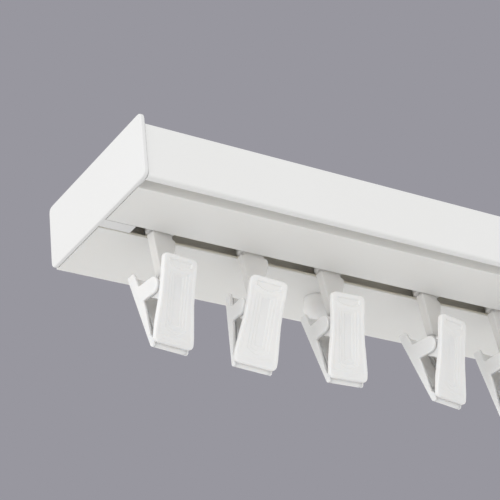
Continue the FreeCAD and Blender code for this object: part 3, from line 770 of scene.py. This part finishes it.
class TRACK_OT_gliders(bpy.types.Operator):
    """Mould the gliders that run in the slot"""

    bl_idname = "curtain_track.gliders"
    bl_label = "Gliders"

    def execute(self, context):
        parts = glider_parts()
        for number in RUNNERS:
            turn = about_z(glider_turn(number))
            place = ball_place(number) - turn @ BALL
            hung = [moved(part, turn, place) for part in parts]
            make_piece("glider_body_%d" % number, hung, bpy.data.materials["warm_glider"],
                       "glider_%d_body" % number, ["glider_%d" % number])
        return {"FINISHED"}


def ramp(distance, width):
    """0 outside, 1 inside, with a smooth slope of the given width between."""
    t = np.clip(distance / width + 0.5, 0.0, 1.0)
    return t * t * (3 - 2 * t)


def half_width(s, length):
    """Half the front arm's width at distance s below its top edge.

    The flanks run straight between a few widths, and all four corners are
    quarter circles.
    """
    at = [0.0, 4.6, 6.2, length / 2, length - 3.2, length]
    wide = [5.8, 5.8, 5.65, 5.75, 6.65, 6.6]
    top_corner, foot_corner = 1.5, 1.6
    half = np.interp(s, at, wide)
    for near, radius in ((s, top_corner), (length - s, foot_corner)):
        left = np.clip(radius - near, 0.0, radius)
        half = half - (radius - np.sqrt(np.clip(radius ** 2 - left ** 2, 0.0, None)))
    return half


def panel_depth(x, s, half, length, step):
    """Depth of the face at (x, s): thumb groove, bowed step and nested panels.

    The step's upper line is high + bow (1 - (x / span)^2). The groove lies above it,
    the field below it, and each nested panel ends below in a slight arch.
    """
    high, bow, span = 2.6, 1.4, 4.4
    line = high + bow * np.clip(1 - (x / span) ** 2, 0.0, 1.0)
    groove_top, groove_gap, groove_half, groove_depth = 1.5, 0.35, 3.7, 2.1
    field_side, field_foot, field_depth = 1.15, 2.4, 0.6
    nested = ((3.3, 4.7, 3.4), (2.3, 5.2, 4.5), (1.3, 5.8, 5.8))
    arch, nested_depth = 0.12, 0.7
    groove_slope, field_slope, nested_slope = 0.4, 0.35, 0.3
    groove = np.minimum(np.minimum(s - groove_top, line - groove_gap - s),
                        groove_half - np.abs(x))
    field = np.minimum(half - field_side - np.abs(x),
                       np.minimum(s - line, length - field_foot - s))
    depth = (groove_depth * step * ramp(groove, groove_slope)
             + field_depth * step * ramp(field, field_slope))
    for reach, top, low in nested:
        foot = length - low - arch * x ** 2
        inside = np.minimum(reach - np.abs(x), np.minimum(s - top, foot - s))
        depth = depth + nested_depth * step * ramp(inside, nested_slope)
    return depth


def front_plate(length, step):
    """The front arm's plate in its flat frame, face at y = 0, top edge at z = 0.

    Cross-sections stand at distance s below the top. Each is the stepped face,
    a rounded flank, the flat back and the other flank. Near both ends the
    section shrinks round a quarter circle.
    """
    edge, rows, columns = 0.42, 180, 111
    thick_at, thickness = [0, length - 6, length - 3.5, length], [1.6, 1.6, 1.3, 1.25]
    back_side, back_edge = 0.25, 0.3
    turn = np.linspace(0, HALF_PI, 5)
    body = np.linspace(edge, length - edge, rows)
    s = np.concatenate([edge * (1 - np.cos(turn))[:-1], body,
                        (length - edge * (1 - np.cos(turn))[::-1])[1:]])
    near = np.minimum(s, length - s)
    shrink = edge * (1 - np.sqrt(np.clip(1 - (1 - np.minimum(near, edge) / edge) ** 2, 0, 1)))
    half = half_width(s, length)[:, None]
    thick = np.interp(s, thick_at, thickness)[:, None]
    across = np.linspace(-1, 1, columns)[None, :]
    face_x = across * (half - edge)
    face_y = panel_depth(face_x, s[:, None], half, length, step)
    arc = np.linspace(0, HALF_PI, 6)[1:][None, :]
    arc_x = half - edge + edge * np.sin(arc)
    arc_y = edge - edge * np.cos(arc) + 0 * half
    back_x = np.linspace(1, -1, 9)[None, :] * (half - back_side)
    back_y = thick + 0 * back_x
    flank_x = half + 0 * thick
    flank_y = thick - back_edge
    x = np.concatenate([face_x, arc_x, flank_x, back_x, -flank_x, -arc_x[:, ::-1]], axis=1)
    y = np.concatenate([face_y, arc_y, flank_y, back_y, flank_y, arc_y[:, ::-1]], axis=1)
    middle = thick / 2
    x = x * (half - shrink[:, None]) / half
    y = middle + (y - middle) * (1 - shrink[:, None] / middle)
    z = np.broadcast_to(-s[:, None], x.shape)
    return skin(np.stack([x, y, z], axis=-1))


def pair(outline, inner, outer, edge):
    """The same plate on both flanks of an arm."""
    right = slab(outline, inner, outer, edge)
    return [right, flipped(right)]


def seen_from_front(sizes, y, z):
    """A point of the clip's frame in the front arm's flat frame."""
    dy, dz = y + sizes.front / MM, z - sizes.rise / MM
    c, s = math.cos(sizes.front_tilt), math.sin(sizes.front_tilt)
    return np.array([dy * c + dz * s, dz * c - dy * s])


def seen_from_rear(sizes, y, z):
    """A point of the clip's frame in the rear arm's flat frame."""
    dy, dz = y - sizes.rear / MM, z - sizes.rise / MM
    c, s = math.cos(sizes.rear_tilt), math.sin(sizes.rear_tilt)
    return np.array([dy * c - dz * s, dz * c + dy * s])


def jaw_face(sizes, up):
    """A point just behind the front jaw's rear face, in the rear arm's flat frame."""
    c, s = math.cos(sizes.front_tilt), math.sin(sizes.front_tilt)
    jaw_and_gap = 1.31
    y = jaw_and_gap * c - up * s - sizes.front / MM
    return seen_from_rear(sizes, y, sizes.rise / MM + jaw_and_gap * s + up * c)


def front_arm_parts(sizes):
    """Plate, lugs, bracket and ball socket, in the front arm's flat frame.

    The socket is two part spheres, both cut off at the radius of its mouth.
    """
    pin_y, pin_z = seen_from_front(sizes, PIN[1], PIN[2])
    ball_y, ball_z = seen_from_front(sizes, 0.0, 0.0)
    root, nose, half_nose, neck, half_neck = 1.3, 2.0, 1.6, 0.4, 2.0
    lug = rounded([(root, pin_z + 3.1), (pin_y - neck, pin_z + half_neck),
                   (pin_y + nose, pin_z + half_nose), (pin_y + nose, pin_z - half_nose),
                   (pin_y - neck, pin_z - half_neck), (root, pin_z - 3.4)],
                  [0.2, 0.6, 1.5, 1.5, 0.6, 0.2], 6)
    lug_inner, lug_outer, bracket_half, rim = 3.8, 4.8, 1.0, 0.15
    bracket_end = ball_y - 1.8
    bracket = rounded([(root, ball_z + 1.3), (bracket_end, ball_z + 0.6),
                       (bracket_end, ball_z - 1.2), (root, ball_z - 1.9)], 0.2)
    shell, hollow, mouth, pole = 2.5, 1.65, 0.85, 0.05
    outside = np.linspace(-HALF_PI + pole, math.asin(mouth / shell), 16)
    inside = np.linspace(math.asin(mouth / hollow), -HALF_PI + pole, 16)
    cup = [(shell * math.cos(a), shell * math.sin(a)) for a in outside]
    cup += [(hollow * math.cos(a), hollow * math.sin(a)) for a in inside]
    socket = moved(lathe(cup, 32), about_x(-sizes.front_tilt), (0.0, ball_y, ball_z))
    parts = [front_plate(sizes.length / MM, sizes.step / MM), socket]
    parts += pair(lug, lug_inner, lug_outer, rim)
    parts.append(slab(bracket, -bracket_half, bracket_half, rim))
    return parts


def rear_arm_parts(sizes):
    """Plate with its curled lip, ribs and side walls that carry round-ended cheeks.

    A cheek is a bar between two level lines with a half circle at its end. Its
    lines meet the wall's inner edge, and both are one outline.
    """
    length = sizes.length / MM
    pin_z = seen_from_rear(sizes, PIN[1], PIN[2])[1]
    lip_top, lip_foot, plate_back = 1.2, 0.88, -1.15
    foot = [jaw_face(sizes, lip_top - length), jaw_face(sizes, -length - lip_foot),
            (-0.3, -26.47), (0, -25.8)]
    foot_radius = [0.12, 0.6, 0.5, 0.6]
    plate = rounded([(0, 0), (plate_back, 0), (plate_back, -23.6)] + foot,
                    [0.5, 0.3, 0.9] + foot_radius)
    rib_root, rib_edge = -1.0, -1.95
    rib = rounded([(rib_root, -0.8), (rib_edge, -1.2), (rib_edge, -21.1),
                   (rib_root, -21.9)], 0.25)
    inner, radius, reach, drop = -3.0, 2.6, 2.3, 2.4
    c, s = math.cos(sizes.rear_tilt), math.sin(sizes.rear_tilt)
    roots = []
    for height in (radius - drop, -radius - drop):
        dz = height - sizes.rise / MM
        roots.append((inner, dz * c + (inner + dz * s) / c * s))
    cheek = []
    for a in np.linspace(HALF_PI, 3 * HALF_PI, 16):
        y, z = radius * math.cos(a) - reach, radius * math.sin(a) - drop
        cheek.append(tuple(seen_from_rear(sizes, y, z)))
    wall = rounded([(0, 0), (inner, -0.6), roots[0]] + cheek
                   + [roots[1], (inner, pin_z - 1.5), (-1.4, -23.2)] + foot,
                   [0.5, 0.9, 0.5] + [0.2] * len(cheek) + [0.5, 0.8, 0.6] + foot_radius)
    plate_half, rib_inner, rib_outer, wall_inner, wall_outer = 5.2, 3.5, 4.2, 5.0, 5.98
    parts = [slab(plate, -plate_half, plate_half, 0.05)]
    parts += pair(rib, rib_inner, rib_outer, 0.15)
    parts += pair(wall, wall_inner, wall_outer, 0.25)
    return parts


def pin_parts():
    """The pivot pin, a round bar along the track with a small rounding at each end."""
    radius, half_length, rim = 0.6, 5.9, 0.12
    turn = np.linspace(0, 2 * math.pi, 32, endpoint=False)
    outline = np.stack([radius * np.cos(turn), radius * np.sin(turn)], axis=1)
    return [slab(outline, -half_length, half_length, rim)]


def spring_parts(wire):
    """The torsion spring as one wire: front leg, coil round the pin, rear leg.

    The coil is (x, r cos a, r sin a), with a running through three and a quarter
    turns while x crosses the clip. Both legs leave along the coil's tangent.
    """
    radius, turns, pitch, aside = 1.2, 3.25, 1.6, 0.35
    front_leg, rear_leg = 3.2, 10.1
    start = math.radians(225)
    angle = np.linspace(start, start + 2 * math.pi * turns, 170)
    x = (angle - start) / (2 * math.pi) * pitch - pitch * turns / 2 + aside
    coil = np.stack([x, radius * np.cos(angle), radius * np.sin(angle)], axis=1)
    grow = np.linspace(1.0, 0.02, 6)[:, None]
    slant = math.sqrt(0.5)
    front = coil[0] + front_leg * grow * np.array([0.0, -slant, slant])
    rear = coil[-1] + rear_leg * grow[::-1] * np.array([0.0, slant, slant])
    return [tube(np.concatenate([front, coil, rear]), wire, 10)]


class TRACK_OT_clips(bpy.types.Operator):
    """Mould the clips and bend their springs"""

    bl_idname = "curtain_track.clips"
    bl_label = "Clips"

    def execute(self, context):
        sizes = context.scene.clip_sizes
        white = bpy.data.materials["white_clip"]
        metal = bpy.data.materials["drawn_steel"]
        front_turn, rear_turn = about_x(sizes.front_tilt), about_x(-sizes.rear_tilt)
        front_place = (0.0, -sizes.front / MM, sizes.rise / MM)
        rear_place = (0.0, sizes.rear / MM, sizes.rise / MM)
        bend_half = np.array([0.0, 0.9, 0.0])
        kinds = (
            ("front_arm", white, "clip", front_arm_parts(sizes), front_turn, front_place),
            ("rear_arm", white, "clip", rear_arm_parts(sizes), rear_turn, rear_place),
            ("pin", metal, "steel", pin_parts(), None, PIN),
            ("spring", metal, "spring_steel", spring_parts(sizes.wire / MM), None, PIN),
        )
        for number in RUNNERS:
            turn, place = clip_frame(number), ball_place(number)
            front_body, rear_body = "clip_%d_body" % number, "clip_%d_rear_body" % number
            ends = [turn @ (PIN + side * bend_half) + place for side in (-1, 1)]
            for kind, material, slot, parts, own_turn, own_place in kinds:
                hung = [moved(moved(part, own_turn, own_place), turn, place)
                        for part in parts]
                body = rear_body if kind in ("rear_arm", "pin") else front_body
                bend = (rear_body, *ends) if kind == "spring" else None
                make_piece("clip_%s_shape_%d" % (kind, number), hung, material, body,
                           ["clip_%s_%d" % (kind, number)], bend)
        return {"FINISHED"}


def set_camera(context, stage):
    """Camera below the track, turned by the directions of its right and up."""
    right, up = np.array(CAMERA_RIGHT), np.array(CAMERA_UP)
    right /= np.linalg.norm(right)
    up -= right * np.dot(right, up)
    up /= np.linalg.norm(up)
    back = np.cross(right, up)
    data = bpy.data.cameras.new("viewpoint")
    data.lens = stage.lens
    data.sensor_width = 36.0
    data.clip_start = 0.01
    camera = bpy.data.objects.new("viewpoint", data)
    context.scene.collection.objects.link(camera)
    pose = np.eye(4)
    pose[:3, :3] = np.stack([right, up, back], axis=1)
    pose[:3, 3] = stage.eye
    camera.matrix_world = Matrix(pose.tolist())
    context.scene.camera = camera


def set_world(context, backdrop, ambient):
    """Even white light, while the camera sees the backdrop's grey."""
    world = bpy.data.worlds.new("studio")
    world.use_nodes = True
    nodes, links = world.node_tree.nodes, world.node_tree.links
    light = nodes["Background"]
    light.inputs["Color"].default_value = (1.0, 1.0, 1.0, 1.0)
    light.inputs["Strength"].default_value = ambient
    seen = nodes.new("ShaderNodeBackground")
    seen.inputs["Color"].default_value = (*backdrop, 1.0)
    path = nodes.new("ShaderNodeLightPath")
    mix = nodes.new("ShaderNodeMixShader")
    links.new(path.outputs["Is Camera Ray"], mix.inputs["Fac"])
    links.new(light.outputs["Background"], mix.inputs[1])
    links.new(seen.outputs["Background"], mix.inputs[2])
    links.new(mix.outputs["Shader"], nodes["World Output"].inputs["Surface"])
    context.scene.world = world


def lay_floor(height):
    """A wide pale floor far below the track."""
    half, pale, matte = 12.0, 0.88, 0.9
    mesh = bpy.data.meshes.new("studio_floor")
    mesh.from_pydata([(-half, -half, height), (half, -half, height), (half, half, height),
                      (-half, half, height)], [], [(0, 1, 2, 3)])
    material = bpy.data.materials.new("pale_floor")
    material.use_nodes = True
    surface = material.node_tree.nodes["Principled BSDF"]
    surface.inputs["Base Color"].default_value = (pale, pale, pale, 1.0)
    surface.inputs["Roughness"].default_value = matte
    mesh.materials.append(material)
    floor = bpy.data.objects.new("studio_floor", mesh)
    bpy.context.scene.collection.objects.link(floor)


def lamp(name, place, power):
    """A square soft lamp that faces the gathered runners."""
    data = bpy.data.lights.new(name, "AREA")
    data.size = LAMP_WIDTH
    data.energy = power
    lamp_object = bpy.data.objects.new(name, data)
    back = np.array(place) - np.array(LAMPS_FACE)
    back /= np.linalg.norm(back)
    right = np.cross([0.0, 0.0, 1.0], back)
    right /= np.linalg.norm(right)
    up = np.cross(back, right)
    pose = np.eye(4)
    pose[:3, :3] = np.stack([right, up, back], axis=1)
    pose[:3, 3] = place
    lamp_object.matrix_world = Matrix(pose.tolist())
    bpy.context.scene.collection.objects.link(lamp_object)
    return lamp_object


class TRACK_OT_stage(bpy.types.Operator):
    """Set up camera, lamps, backdrop and floor"""

    bl_idname = "curtain_track.stage"
    bl_label = "Stage"

    def execute(self, context):
        stage = context.scene.stage_sizes
        set_camera(context, stage)
        set_world(context, context.scene.track_finishes.backdrop, stage.ambient)
        lay_floor(stage.floor)
        side = lamp("soft_side", SIDE_LAMP, stage.side)
        side.visible_glossy = False
        lamp("soft_front", FRONT_LAMP, stage.front)
        context.scene.view_settings.view_transform = "Standard"
        return {"FINISHED"}


class TRACK_PT_panel(bpy.types.Panel):
    """Lists the steps in the sidebar"""

    bl_idname = "TRACK_PT_panel"
    bl_label = "Curtain track"
    bl_space_type = "VIEW_3D"
    bl_region_type = "UI"
    bl_category = "Curtain track"

    def draw(self, context):
        for operator in OPERATORS:
            self.layout.operator(operator.bl_idname)
        for group, _ in GROUPS:
            settings = getattr(context.scene, group)
            for name in settings.bl_rna.properties.keys():
                if name not in ("rna_type", "name"):
                    self.layout.prop(settings, name)


GROUPS = (
    ("track_sizes", TrackSizes),
    ("clip_sizes", ClipSizes),
    ("track_finishes", Finishes),
    ("stage_sizes", StageSizes),
)
OPERATORS = (
    TRACK_OT_materials,
    TRACK_OT_profile,
    TRACK_OT_fascia,
    TRACK_OT_caps,
    TRACK_OT_button,
    TRACK_OT_gliders,
    TRACK_OT_clips,
    TRACK_OT_stage,
)


def register():
    """Register settings, operators and the panel."""
    for name, group in GROUPS:
        bpy.utils.register_class(group)
        setattr(bpy.types.Scene, name, bpy.props.PointerProperty(type=group))
    for operator in OPERATORS:
        bpy.utils.register_class(operator)
    bpy.utils.register_class(TRACK_PT_panel)


def unregister():
    """Take everything back out, in reverse order."""
    bpy.utils.unregister_class(TRACK_PT_panel)
    for operator in reversed(OPERATORS):
        bpy.utils.unregister_class(operator)
    for name, group in reversed(GROUPS):
        delattr(bpy.types.Scene, name)
        bpy.utils.unregister_class(group)


def main():
    """Dress the model step by step."""
    register()
    bpy.ops.curtain_track.materials()
    bpy.ops.curtain_track.profile()
    bpy.ops.curtain_track.fascia()
    bpy.ops.curtain_track.caps()
    bpy.ops.curtain_track.button()
    bpy.ops.curtain_track.gliders()
    bpy.ops.curtain_track.clips()
    bpy.ops.curtain_track.stage()


if __name__ == "__main__":
    main()
